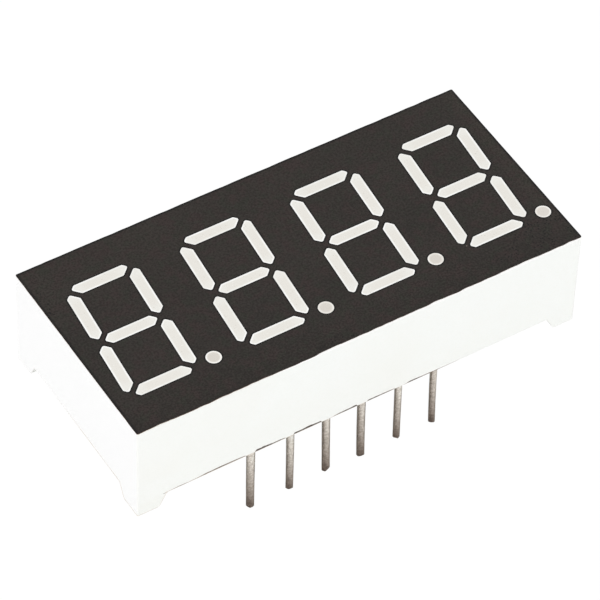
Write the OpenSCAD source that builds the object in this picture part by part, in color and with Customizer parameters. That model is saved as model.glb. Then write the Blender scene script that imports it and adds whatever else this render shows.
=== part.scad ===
// Four-digit seven segment display module with twelve pins.
//
// The module is a white moulded reflector shell whose front carries a dark print.
// Every segment is a slug of milky epoxy cast in its own tapered cavity. A circuit
// board closes the cavities from behind. It carries one light-emitting die and one
// bond wire for each segment, and twelve soldered wire pins. Epoxy seals the back.
//
// Frame: the origin is the centre of the pin pattern, in the seating plane that the
// four corner feet stand on. +X is the reading direction, +Y points to the top of the
// digits and +Z out of the front face. Lengths are in millimetres.

/* [Shell] */
// Width of the shell across the four digits
body_w = 30; // [29.8:0.1:32]
// Depth of the shell from the bottom to the top of the digits
body_d = 14; // [13.8:0.1:16]
// Height of the front face above the seating plane
body_h = 7.2; // [6.4:0.1:9]
// Thickness of the side walls
wall = 0.8; // [0.6:0.05:0.9]
// Radius of the upright corners
corner_r = 0.1; // [0.05:0.05:0.5]
// Sideways offset of the shell from the centre of the pin pattern
shell_x = -0.15; // [-0.2:0.05:0.2]
// Thickness of the print on the front face
ink_t = 0.05; // [0.02:0.01:0.1]

/* [Feet] */
// Height of the corner feet, from the seating plane to the edge of the walls
foot_h = 1; // [0.6:0.1:1.3]
// Length of a foot's flat sole along the long wall
foot_x = 1.45; // [1.2:0.05:3]
// Length of a foot's flat sole along the short wall
foot_y = 1.55; // [1.2:0.05:3]
// How much longer a foot is where it joins the wall than at its sole
foot_flare = 0.5; // [0.2:0.05:1]

/* [Digits] */
// Distance from one digit to the next
digit_pitch = 7.5; // [7.3:0.05:7.6]
// Sideways offset of the row of digits from the middle of the shell
digits_x = -0.07; // [-0.2:0.01:0.1]
// Height of a digit over its outer edges
digit_h = 9.14; // [8.6:0.02:9.6]
// Width of an upright digit over its outer edges
digit_w = 4.8; // [4.6:0.02:5]
// Width of a segment
stroke = 0.77; // [0.7:0.01:0.9]
// Angle by which the digits lean to the right, in degrees
slant = 5; // [0:0.5:8]
// Width of the dark gap between two segments
seg_gap = 0.37; // [0.3:0.01:0.5]
// Distance of a corner segment's point from the outer edge of the digit
tip_in = 0.27; // [0.2:0.01:0.35]
// Half the length of the middle segment, from its centre to its point
middle_l = 1.74; // [1.7:0.005:1.8]
// Radius of a segment's corners
vertex_r = 0.13; // [0.04:0.01:0.14]
// Diameter of a decimal point
dot_d = 0.94; // [0.8:0.02:1.04]
// Distance of the decimal point to the right of the digit's centre
dot_x = 2.965; // [2.95:0.005:3.05]
// Distance of the decimal point below the digit's centre
dot_y = 4.18; // [4.1:0.01:4.3]
// Size of a cavity at the board, as a share of its size at the face
taper = 0.62; // [0.55:0.01:0.8]

/* [Circuit board] */
// Thickness of the circuit board
board_t = 1; // [0.8:0.1:1.2]
// Height of the board's rear side above the seating plane
board_z = 2.2; // [2:0.05:2.6]
// Gap between the board's edge and the shell
board_gap = 0.1; // [0.05:0.05:0.2]
// How deep the rear epoxy lies below the edge of the walls
potting_in = 0.3; // [0.1:0.05:0.4]

/* [Pins] */
// Diameter of a pin
pin_d = 0.5; // [0.4:0.02:0.56]
// Distance between neighbouring pins of a row
pin_pitch = 2.54; // [2.5:0.01:2.58]
// Distance between the two rows of pins
row_gap = 10.16; // [10:0.02:10.3]
// Free length of a pin below the seating plane
pin_l = 6.65; // [3:0.05:9]

/* [Light sources] */
// Side of a die
die_w = 0.25; // [0.2:0.01:0.28]
// Height of a die
die_h = 0.15; // [0.1:0.01:0.2]
// Diameter of a bond wire
wire_d = 0.03; // [0.025:0.005:0.04]
// Distance from the die's centre to the wire's other end, in a segment
wire_span = 0.55; // [0.45:0.01:0.6]

/* [Hidden] */
SEGMENTS = ["a", "b", "c", "d", "e", "f", "g"];
$fn = 64;

// Levels, all above the seating plane
board_top = board_z + board_t;
ink_z = body_h - ink_t;
potting_z = foot_h + potting_in;

// Plan sizes
inner_w = body_w - 2 * wall;
inner_d = body_d - 2 * wall;
inner_r = 0.3;
hole_d = pin_d + 0.1;
dot_back_d = dot_d * 0.84;
dot_wire = 0.4;

// ---------- outlines ----------

function unit(v) = v / norm(v);
function turn(a) = a > 180 ? a - 360 : a < -180 ? a + 360 : a;
function reversed(list) = [for (i = [len(list) - 1:-1:0]) list[i]];

// The points of an arc of radius r that rounds the corner at b between a and c
function corner_arc(a, b, c, r, n) =
    let (u = unit(a - b), v = unit(c - b),
         half = acos(u * v) / 2,
         middle = b + unit(u + v) * r / sin(half),
         from = b + u * r / tan(half) - middle,
         to = b + v * r / tan(half) - middle,
         a0 = atan2(from.y, from.x),
         da = turn(atan2(to.y, to.x) - a0))
    [for (i = [0:n]) middle + r * [cos(a0 + da * i / n), sin(a0 + da * i / n)]];

// A closed outline with every corner rounded
function rounded(points, r, n = 3) =
    let (m = len(points))
    [for (i = [0:m - 1])
        each corner_arc(points[(i + m - 1) % m], points[i], points[(i + 1) % m], r, n)];

// A rectangle with rounded corners, in true arcs
module plate(w, d, r) {
    square([w - 2 * r, d], center = true);
    square([w, d - 2 * r], center = true);
    for (x = [-1, 1], y = [-1, 1])
        translate([x * (w / 2 - r), y * (d / 2 - r)]) circle(r = r);
}

// ---------- digits ----------

// Outer corner of an upright digit, seen from its centre
half_w = digit_w / 2;
half_h = digit_h / 2;
// A corner gap runs at 45 degrees, so it shifts a segment's end by this much
shift = seg_gap / sqrt(2);
// Lower point of the upper right segment
middle_v = middle_l + seg_gap * sqrt(2) - half_w + stroke / 2;

function flip_u(list) = reversed([for (p = list) [-p.x, p.y]]);
function flip_v(list) = reversed([for (p = list) [p.x, -p.y]]);

// Outlines of the upright segments, counter-clockwise
function segment_a() =
    let (inner = half_w - stroke - shift,
         point = inner + stroke - tip_in,
         outer = point - tip_in)
    [[point, half_h - tip_in], [outer, half_h], [-outer, half_h],
     [-point, half_h - tip_in], [-inner, half_h - stroke], [inner, half_h - stroke]];
function segment_b() =
    let (inner = half_h - stroke - shift,
         point = inner + stroke - tip_in,
         outer = point - tip_in)
    [[half_w, outer], [half_w - tip_in, point], [half_w - stroke, inner],
     [half_w - stroke, middle_v + stroke / 2], [half_w - stroke / 2, middle_v],
     [half_w, middle_v + stroke / 2]];
function segment_g() =
    let (edge = middle_l - stroke / 2)
    [[middle_l, 0], [edge, stroke / 2], [-edge, stroke / 2],
     [-middle_l, 0], [-edge, -stroke / 2], [edge, -stroke / 2]];
function segment_outline(s) =
    s == "a" ? segment_a() :
    s == "b" ? segment_b() :
    s == "c" ? flip_v(segment_b()) :
    s == "d" ? flip_v(segment_a()) :
    s == "e" ? flip_v(flip_u(segment_b())) :
    s == "f" ? flip_u(segment_b()) : segment_g();

// The point that a segment's cavity narrows towards, in an upright digit
function segment_middle(s) =
    let (m = half_w - stroke / 2,
         v = (middle_v + half_h - shift - tip_in) / 2)
    s == "a" ? [0, half_h - stroke / 2] :
    s == "b" ? [m, v] :
    s == "c" ? [m, -v] :
    s == "d" ? [0, stroke / 2 - half_h] :
    s == "e" ? [-m, -v] :
    s == "f" ? [-m, v] : [0, 0];

function leaned(p) = [p.x + p.y * tan(slant), p.y];
function digit_middle(d) = [shell_x + digits_x + (d - 2.5) * digit_pitch, 0];
function dot_middle(d) = digit_middle(d) + [dot_x, -dot_y];

// Share of its full size that a cavity has at height z
function share(z, back) = back + (1 - back) * (z - board_top) / (body_h - board_top);

// The space of one segment between two heights. Its walls lean in to the board.
module segment_space(d, s, z0, z1) {
    flat = rounded(segment_outline(s), vertex_r);
    n = len(flat);
    middle = leaned(segment_middle(s));
    at = digit_middle(d);
    ring = function (z) [for (p = flat)
        let (q = at + middle + (leaned(p) - middle) * share(z, taper)) [q.x, q.y, z]];
    polyhedron(
        points = concat(ring(z0), ring(z1)),
        faces = concat(
            [[for (i = [0:n - 1]) i]],
            [[for (i = [n - 1:-1:0]) n + i]],
            [for (i = [0:n - 1]) [i, n + i, n + (i + 1) % n, (i + 1) % n]]),
        convexity = 2);
}

// The space of one decimal point between two heights
module dot_space(d, z0, z1) {
    at = dot_middle(d);
    translate([at.x, at.y, z0])
        cylinder(h = z1 - z0,
                 d1 = dot_d * share(z0, dot_back_d / dot_d),
                 d2 = dot_d * share(z1, dot_back_d / dot_d));
}

module cavities(z0, z1) {
    for (d = [1:4]) {
        for (s = SEGMENTS) segment_space(d, s, z0, z1);
        dot_space(d, z0, z1);
    }
}

// ---------- shell ----------

// A foot seen from the side: a flat sole, a rounded end and a flare up to the wall
function foot_side(l) =
    concat([[-1, 0]],
        corner_arc([-1, 0], [l, 0], [l + foot_flare, foot_h], 0.22, 5),
        corner_arc([l, 0], [l + foot_flare, foot_h], [l + 3, foot_h], 0.25, 4),
        [[-1, foot_h]]);

module feet() {
    intersection() {
        linear_extrude(foot_h) plate(body_w, body_d, corner_r);
        for (m = [0, 1]) mirror([m, 0, 0])
            translate([-body_w / 2, body_d, 0]) rotate([90, 0, 0])
                linear_extrude(2 * body_d) polygon(foot_side(foot_x));
        for (m = [0, 1]) mirror([0, m, 0])
            translate([-body_w, -body_d / 2, 0]) rotate([90, 0, 90])
                linear_extrude(2 * body_w) polygon(foot_side(foot_y));
    }
}

module housing() {
    color([0.96, 0.96, 0.94]) difference() {
        translate([shell_x, 0, 0]) difference() {
            union() {
                translate([0, 0, foot_h])
                    linear_extrude(ink_z - foot_h) plate(body_w, body_d, corner_r);
                feet();
            }
            translate([0, 0, -1])
                linear_extrude(board_top + 1) plate(inner_w, inner_d, inner_r);
        }
        cavities(board_top - 0.2, body_h);
    }
}

module face_ink() {
    color([0.22, 0.21, 0.2]) difference() {
        translate([shell_x, 0, ink_z]) linear_extrude(ink_t) plate(body_w, body_d, corner_r);
        cavities(board_top, body_h + 0.1);
    }
}

// ---------- pins and board ----------

// Pins 1 to 6 run left to right along the lower row, 7 to 12 back along the upper row
function pin_at(p) = p <= 6
    ? [(p - 3.5) * pin_pitch, -row_gap / 2]
    : [(9.5 - p) * pin_pitch, row_gap / 2];

// A drawn wire: below the walls' edge it is a true cylinder, above it the wire is drawn
// down a little towards the board, and the cut end is slightly broken
module pin_shape() {
    r = pin_d / 2;
    rotate_extrude()
        polygon([[0, -pin_l], [r - 0.06, -pin_l], [r, -pin_l + 0.06], [r, foot_h],
                 [r - 0.015, board_top], [0, board_top]]);
}

module pin(p) {
    color([0.72, 0.69, 0.66]) translate(concat(pin_at(p), [0])) pin_shape();
}

module circuit_board() {
    color([0.16, 0.36, 0.22]) difference() {
        translate([shell_x - inner_w / 2 + board_gap, -inner_d / 2 + board_gap, board_z])
            cube([inner_w - 2 * board_gap, inner_d - 2 * board_gap, board_t]);
        for (p = [1:12]) translate(concat(pin_at(p), [board_z - 1]))
            cylinder(h = board_t + 2, d = hole_d);
    }
}

// Solder fills the plated hole round a pin and rises along the pin behind the board
module solder_body() {
    rotate_extrude()
        polygon([[0, board_z - 0.45], [pin_d / 2 + 0.03, board_z - 0.45],
                 [pin_d / 2 + 0.12, board_z - 0.28], [pin_d / 2 + 0.36, board_z],
                 [hole_d / 2, board_z], [hole_d / 2, board_top], [0, board_top]]);
}

module solder_joints() {
    color([0.78, 0.78, 0.77]) for (p = [1:12]) translate(concat(pin_at(p), [0]))
        difference() {
            solder_body();
            pin_shape();
        }
}

// The rear epoxy fills the shell behind and beside the board, and creeps down the pins
module potting() {
    color([0.86, 0.86, 0.82]) difference() {
        union() {
            translate([shell_x, 0, potting_z])
                linear_extrude(board_top - potting_z) plate(inner_w, inner_d, inner_r);
            for (p = [1:12]) translate(concat(pin_at(p), [potting_z - 0.1]))
                cylinder(h = 0.2, r1 = pin_d / 2 + 0.04, r2 = pin_d / 2 + 0.24);
        }
        translate([shell_x - inner_w / 2 + board_gap, -inner_d / 2 + board_gap, board_z])
            cube([inner_w - 2 * board_gap, inner_d - 2 * board_gap, board_t + 1]);
        for (p = [1:12]) translate(concat(pin_at(p), [0])) {
            solder_body();
            pin_shape();
        }
    }
}

// ---------- light sources ----------

// Direction in which a segment's bond wire leaves its die
function wire_angle(s) = s == "a" || s == "d" || s == "g" ? 0 : 90 - slant;

// A die on the board, with extra material below where it is used as a cutter
module die(extra = 0) {
    translate([-die_w / 2, -die_w / 2, -extra]) cube([die_w, die_w, die_h + extra]);
}

// A bond wire: a half loop from the top of the die, and a short drop to its pad
module bond_wire(span, extra = 0) {
    translate([span / 2, 0, die_h]) rotate([90, 0, 0])
        rotate_extrude(angle = 180) translate([span / 2, 0]) circle(d = wire_d);
    translate([span, 0, -extra]) cylinder(h = die_h + extra, d = wire_d);
}

// Places its children on the board in the middle of a segment's or a point's cavity
module at_segment(d, s) {
    at = digit_middle(d) + leaned(segment_middle(s));
    translate([at.x, at.y, board_top]) rotate([0, 0, wire_angle(s)]) children();
}
module at_dot(d) {
    at = dot_middle(d);
    translate([at.x - 0.12, at.y, board_top]) children();
}

module led_dice(d) {
    color([0.85, 0.75, 0.4]) {
        for (s = SEGMENTS) at_segment(d, s) die();
        at_dot(d) die();
    }
}

module bond_wires(d) {
    color([0.85, 0.68, 0.25]) {
        for (s = SEGMENTS) at_segment(d, s) bond_wire(wire_span);
        at_dot(d) bond_wire(dot_wire);
    }
}

// ---------- light pipes ----------

module segment(d, s) {
    color([0.91, 0.9, 0.87]) difference() {
        segment_space(d, s, board_top, body_h);
        at_segment(d, s) {
            die(0.1);
            bond_wire(wire_span, 0.1);
        }
    }
}

module decimal_point(d) {
    color([0.85, 0.83, 0.8]) difference() {
        dot_space(d, board_top, body_h);
        at_dot(d) {
            die(0.1);
            bond_wire(dot_wire, 0.1);
        }
    }
}

housing();
face_ink();
circuit_board();
potting();
solder_joints();
for (p = [1:12])
    pin(p);
for (d = [1:4]) {
    for (s = SEGMENTS)
        segment(d, s);
    decimal_point(d);
    led_dice(d);
    bond_wires(d);
}
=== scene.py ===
"""Looks of the four-digit seven segment display module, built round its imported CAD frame."""

import math

import bpy
import numpy as np
from mathutils import Matrix, Vector, geometry, noise


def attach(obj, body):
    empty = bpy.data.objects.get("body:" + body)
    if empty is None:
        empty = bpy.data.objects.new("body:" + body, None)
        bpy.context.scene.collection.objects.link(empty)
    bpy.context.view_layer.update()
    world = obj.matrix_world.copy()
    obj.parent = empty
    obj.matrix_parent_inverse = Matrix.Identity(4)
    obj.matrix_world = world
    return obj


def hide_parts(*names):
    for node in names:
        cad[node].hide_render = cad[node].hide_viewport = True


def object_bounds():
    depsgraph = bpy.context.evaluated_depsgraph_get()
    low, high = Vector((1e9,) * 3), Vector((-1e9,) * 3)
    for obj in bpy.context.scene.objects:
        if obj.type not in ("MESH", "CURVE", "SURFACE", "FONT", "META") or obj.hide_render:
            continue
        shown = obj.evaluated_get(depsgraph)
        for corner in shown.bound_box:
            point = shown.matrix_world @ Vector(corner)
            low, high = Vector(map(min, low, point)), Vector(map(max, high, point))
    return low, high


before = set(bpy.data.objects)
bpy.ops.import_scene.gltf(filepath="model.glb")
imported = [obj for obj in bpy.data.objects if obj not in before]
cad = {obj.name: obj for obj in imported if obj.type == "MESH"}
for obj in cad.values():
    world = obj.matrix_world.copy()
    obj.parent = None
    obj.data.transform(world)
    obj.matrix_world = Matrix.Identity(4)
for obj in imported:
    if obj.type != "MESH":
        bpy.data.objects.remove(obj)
cad_low, cad_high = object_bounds()
MM = 0.001

# Sizes in millimetres, as in the CAD source
FACE_Z, INK_Z, FOOT_H, POTTING_Z = 7.2, 7.15, 1.0, 1.3
BOARD_TOP, BOARD_Z = 3.2, 2.2
SHELL_X, DIGITS_X, PITCH = -0.15, -0.07, 7.5
BODY_W, BODY_D, CORNER_R = 30.0, 14.0, 0.1
INNER_W, INNER_D, INNER_R, GAP = 28.4, 12.4, 0.3, 0.1
HALF_W, HALF_H, STROKE, SEG_GAP, TIP_IN, MIDDLE_L = 2.40, 4.57, 0.77, 0.37, 0.27, 1.74
VERTEX_R, DOT_R, DOT_AT = 0.13, 0.47, (2.965, -4.18)
LEAN = math.tan(math.radians(5))
SHIFT = SEG_GAP / math.sqrt(2)
MIDDLE_V = MIDDLE_L + SEG_GAP * math.sqrt(2) - HALF_W + STROKE / 2
FLOOR_Z = cad_low.z / MM


# ---------------------------------------------------------------- node trees


class Tree:
    """Short names for the shader nodes that the materials share."""

    def __init__(self, name):
        self.material = bpy.data.materials.new(name)
        self.material.use_nodes = True
        self.nodes = self.material.node_tree.nodes
        self.links = self.material.node_tree.links
        self.nodes.clear()
        self.out = self.nodes.new("ShaderNodeOutputMaterial")
        self.shader = self.nodes.new("ShaderNodeBsdfPrincipled")
        self.links.new(self.shader.outputs[0], self.out.inputs["Surface"])

    def put(self, socket, value):
        if isinstance(value, bpy.types.NodeSocket):
            self.links.new(value, socket)
        elif isinstance(value, (tuple, list)) and len(value) == 3 and socket.type == "RGBA":
            socket.default_value = (*value, 1)
        else:
            socket.default_value = value

    def mm(self):
        """The point in millimetres of the row frame."""
        at = self.nodes.new("ShaderNodeTexCoord")
        return self.vec("MULTIPLY", at.outputs["Object"], (1000, 1000, 1000))

    def vec(self, op, a, b=None):
        n = self.nodes.new("ShaderNodeVectorMath")
        n.operation = op
        self.put(n.inputs[0], a)
        if b is not None:
            self.put(n.inputs[1], b)
        return n.outputs["Value" if op in ("LENGTH", "DISTANCE") else "Vector"]

    def split(self, v):
        n = self.nodes.new("ShaderNodeSeparateXYZ")
        self.put(n.inputs[0], v)
        return n.outputs[0], n.outputs[1], n.outputs[2]

    def join(self, x=0.0, y=0.0, z=0.0):
        n = self.nodes.new("ShaderNodeCombineXYZ")
        for socket, value in zip(n.inputs, (x, y, z)):
            self.put(socket, value)
        return n.outputs[0]

    def m(self, op, a, b=None, c=None, clamp=False):
        n = self.nodes.new("ShaderNodeMath")
        n.operation, n.use_clamp = op, clamp
        for socket, value in zip(n.inputs, (a, b, c)):
            if value is not None:
                self.put(socket, value)
        return n.outputs[0]

    def step(self, value, low, high, to_low=0.0, to_high=1.0):
        """A smooth step: to_low where value is under low, to_high where it is over high."""
        n = self.nodes.new("ShaderNodeMapRange")
        n.interpolation_type = "SMOOTHSTEP"
        for socket, x in zip(n.inputs, (value, low, high, to_low, to_high)):
            self.put(socket, x)
        return n.outputs[0]

    def curve(self, value, points, scale):
        """A value looked up between points; at most 32 of them, with results from 0 to scale."""
        low, high = points[0][0], points[-1][0]
        ramp = self.nodes.new("ShaderNodeValToRGB")
        self.put(ramp.inputs["Fac"], self.m("DIVIDE", self.m("SUBTRACT", value, low), high - low))
        stops = ramp.color_ramp.elements
        while len(stops) < len(points):
            stops.new(0.5)
        for stop, (at, result) in zip(list(stops), points):
            stop.position = (at - low) / (high - low)
            stop.color = (result / scale, result / scale, result / scale, 1)
        return self.m("MULTIPLY", ramp.outputs["Color"], scale)

    def noise(self, v, scale, detail=2.0, rough=0.5, distort=0.0):
        n = self.nodes.new("ShaderNodeTexNoise")
        self.put(n.inputs["Vector"], v)
        self.put(n.inputs["Scale"], scale)
        self.put(n.inputs["Detail"], detail)
        self.put(n.inputs["Roughness"], rough)
        self.put(n.inputs["Distortion"], distort)
        return n.outputs["Fac"]

    def cells(self, v, scale, random=1.0):
        """Distance to the nearest cell point, and the cell's own colour."""
        n = self.nodes.new("ShaderNodeTexVoronoi")
        self.put(n.inputs["Vector"], v)
        self.put(n.inputs["Scale"], scale)
        self.put(n.inputs["Randomness"], random)
        return n.outputs["Distance"], n.outputs["Color"]

    def mix(self, fac, a, b, blend="MIX"):
        n = self.nodes.new("ShaderNodeMix")
        n.data_type, n.blend_type, n.clamp_factor = "RGBA", blend, True
        self.put(n.inputs[0], fac)
        self.put(n.inputs[6], a)
        self.put(n.inputs[7], b)
        return n.outputs[2]

    def bump(self, height, distance, strength=1.0, normal=None):
        n = self.nodes.new("ShaderNodeBump")
        self.put(n.inputs["Height"], height)
        n.inputs["Distance"].default_value = distance
        n.inputs["Strength"].default_value = strength
        if normal is not None:
            self.put(n.inputs["Normal"], normal)
        return n.outputs[0]

    def finish(self, color, rough, normal=None, **fixed):
        self.put(self.shader.inputs["Base Color"], color)
        self.put(self.shader.inputs["Roughness"], rough)
        if normal is not None:
            self.put(self.shader.inputs["Normal"], normal)
        for name, value in fixed.items():
            self.shader.inputs[name.replace("_", " ")].default_value = value
        return self.material


def linear(r, g, b, gain=1.0):
    """An sRGB colour, 0 to 255, as linear light times a gain."""
    def one(c):
        c /= 255
        return c / 12.92 if c <= 0.04045 else ((c + 0.055) / 1.055) ** 2.4
    return tuple(min(1.0, one(c) * gain) for c in (r, g, b))


def box_noise(t, at, seed, scale, detail=2.0, rough=0.5):
    return t.noise(t.vec("ADD", at, (seed, seed * 1.7, seed * 0.6)), scale, detail, rough)


# ---------------------------------------------------------------- materials

# How bright a white matt surface is on top of the module, and the sheen that the light adds to the print and the epoxy
TOP_LIGHT, INK_SHEEN, EPOXY_SHEEN = 1.12, 0.0175, 0.026
WHITE_GAIN = 0.954
# The sky's strength at the horizon and overhead, and the key light's power in watts
SKY, KEY = (1.0, 0.7), 3.6


def seen(r, g, b, sheen, light=TOP_LIGHT):
    """The base colour with which a surface on top of the module is seen as this sRGB colour."""
    return tuple(max(0.001, (c - sheen) / light) for c in linear(r, g, b))


def ink(r, g, b):
    return seen(r, g, b, INK_SHEEN)


def slug(r, g, b):
    return seen(r, g, b, EPOXY_SHEEN, 1.08)


# The painted shadow line on the front wall's lower edge: places along the wall, and how thick it is there, in mm
PAINTED_SHADOW_LINE = (
    (-13.5, 0.0), (-13.1, 0.03), (-12.5, 0.065), (-11.0, 0.048), (-9.5, 0.075), (-8.6, 0.05), (-8.0, 0.06),
    (-7.9, 0.0), (-7.35, 0.0), (-7.25, 0.18), (-6.6, 0.175), (-6.0, 0.10), (-5.3, 0.10),
    (-5.25, 0.0), (-4.75, 0.0), (-4.65, 0.2), (-3.5, 0.165), (-2.85, 0.15),
    (-2.8, 0.0), (-2.25, 0.0), (-2.0, 0.06), (-1.0, 0.135), (-0.45, 0.15),
    (-0.35, 0.0), (0.25, 0.0), (0.4, 0.105), (2.15, 0.065),
    (2.25, 0.0), (2.75, 0.0), (3.3, 0.095), (5.0, 0.05), (6.9, 0.0),
)


def shell_material():
    """White moulding: satin, a faint cloudiness, and a thin brown painted shadow line along the lower edge of the front
    wall.
    """
    t = Tree("shell_plastic")
    at = t.mm()
    x, y, z = t.split(at)
    cloud = box_noise(t, at, 3.1, 0.16, 2.0, 0.5)
    fine = box_noise(t, at, 8.3, 2.2, 3.0, 0.6)
    grit = box_noise(t, at, 6.7, 9.0, 2.0, 0.6)
    cool, warm = linear(247.3, 249.2, 246.4, WHITE_GAIN), linear(245.6, 246.4, 242.2, WHITE_GAIN)
    # the front wall's lower left part is painted warmer and a little darker, and its lowest band at the left more so:
    # painted shade near the floor; the cloud adds warm patches at random
    lower = t.m("MULTIPLY", t.step(z, 5.0, 2.5), t.m("MULTIPLY", t.step(x, 6.0, 1.0), t.m("LESS_THAN", y, -6.9)))
    warmth_and_shade = t.m("MAXIMUM", t.m("MULTIPLY", t.step(cloud, 0.40, 0.62), t.m("ADD", 0.5, t.m("MULTIPLY", lower, 0.5))), t.m("MULTIPLY", lower, 0.45))
    color = t.mix(warmth_and_shade, cool, warm)
    front, left_part = t.m("LESS_THAN", y, -6.93), t.step(x, -2.0, -9.0)
    low = t.m("MULTIPLY", t.m("MULTIPLY", t.step(z, 1.3, 0.7), front), left_part)
    color = t.mix(low, color, linear(244.6, 245.6, 241.2, WHITE_GAIN))
    color = t.mix(t.m("MULTIPLY", t.step(fine, 0.52, 0.75), 0.35), color, linear(250, 250, 248, WHITE_GAIN))
    color = t.mix(t.m("MULTIPLY", t.step(grit, 0.5, 0.7), 0.5), color, linear(244, 245, 240, WHITE_GAIN))
    from_end = t.m("SUBTRACT", BODY_W / 2, t.m("ABSOLUTE", t.m("SUBTRACT", x, SHELL_X)))
    end = t.m("LESS_THAN", from_end, 0.05)
    color = t.mix(t.m("MULTIPLY", end, 0.85), color, linear(248.4, 248.2, 248.7, WHITE_GAIN))
    # the upright corners at the left end are a little darker and warmer
    corner = t.m("LESS_THAN", t.m("MAXIMUM", from_end, t.m("SUBTRACT", BODY_D / 2, t.m("ABSOLUTE", y))), CORNER_R * 0.9)
    corner = t.m("MULTIPLY", corner, t.m("LESS_THAN", x, 0.0))
    color = t.mix(corner, color, linear(242.5, 243, 240, WHITE_GAIN))
    # the front wall's upper edge is painted paler, a painted highlight, except at its left end
    crest = t.m("MULTIPLY", t.step(z, INK_Z - 0.15, INK_Z - 0.09), t.m("MULTIPLY", front, t.step(x, -9.0, -3.0)))
    color = t.mix(crest, color, linear(254, 254, 253, WHITE_GAIN))
    # the front wall's lower edge: a thin, uneven painted shadow line in several lengths, strongest on the left of the
    # middle
    over = t.m("SUBTRACT", z, FOOT_H)
    wander = box_noise(t, t.join(x, 0.0, 0.0), 5.0, 1.1, 3.0, 0.65)
    width = t.curve(x, PAINTED_SHADOW_LINE, 0.2)
    width = t.m("MULTIPLY", width, t.step(wander, 0.3, 0.68, 0.8, 1.2))
    lift = t.m("MULTIPLY", t.m("MULTIPLY", t.step(x, -11.6, -10.4), t.step(x, -7.6, -8.4)), 0.07)
    above = t.m("SUBTRACT", over, lift)
    in_line = t.m("MULTIPLY", t.step(above, t.m("MULTIPLY", width, 1.05), t.m("MULTIPLY", width, 0.95)), t.m("GREATER_THAN", above, -0.02))
    line = t.m("MULTIPLY", t.m("MULTIPLY", in_line, front), t.m("GREATER_THAN", width, 0.004))
    tone = t.mix(t.step(width, 0.04, 0.12), linear(106, 82, 64), linear(62, 44, 31))
    color = t.mix(line, color, tone)
    # a faint painted shadow line of the same kind on the wall's other lower edges and round the feet
    foot = t.m("SUBTRACT", t.m("ABSOLUTE", t.m("ADD", x, -SHELL_X)), BODY_W / 2 - 1.45)
    side_foot = t.m("SUBTRACT", t.m("ABSOLUTE", y), BODY_D / 2 - 1.55)
    along = t.m("ADD", t.m("MULTIPLY", side_foot, end), t.m("MULTIPLY", foot, t.m("SUBTRACT", 1.0, end)))
    flank = t.m("ABSOLUTE", t.m("ADD", along, t.m("MULTIPLY", z, 0.5)))
    thick = t.m("ADD", 0.045, t.m("MULTIPLY", end, 0.045))
    flank = t.m("MULTIPLY", t.step(flank, t.m("ADD", thick, 0.02), t.m("SUBTRACT", thick, 0.02)), t.m("LESS_THAN", z, FOOT_H))
    sole = t.step(z, t.m("ADD", thick, 0.01), t.m("SUBTRACT", thick, 0.01))
    edge = t.m("MULTIPLY", t.step(t.m("ABSOLUTE", over), t.m("ADD", thick, 0.015), t.m("SUBTRACT", thick, 0.015)), t.m("GREATER_THAN", 0.1, t.m("ADD", along, 0.5)))
    edge_shadow = t.m("MAXIMUM", t.m("MAXIMUM", flank, sole), edge)
    edge_shadow = t.m("MULTIPLY", edge_shadow, t.step(box_noise(t, at, 1.3, 1.4, 2.0, 0.6), 0.35, 0.6, 0.6, 0.95))
    edge_shadow = t.m("MULTIPLY", edge_shadow, t.m("MULTIPLY", t.step(x, 6.0, -6.0, 0.1, 1.0), t.step(y, 3.0, -2.0, 0.15, 1.0)))
    color = t.mix(edge_shadow, color, linear(216, 208, 196))
    rough = t.step(fine, 0.3, 0.7, 0.40, 0.50)
    grain = t.m("ADD", t.m("MULTIPLY", box_noise(t, at, 1.9, 14.0, 3.0, 0.6), 0.7), t.m("MULTIPLY", cloud, 0.3))
    return t.finish(color, rough, t.bump(grain, 0.000004, 0.35), IOR=1.49)


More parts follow.
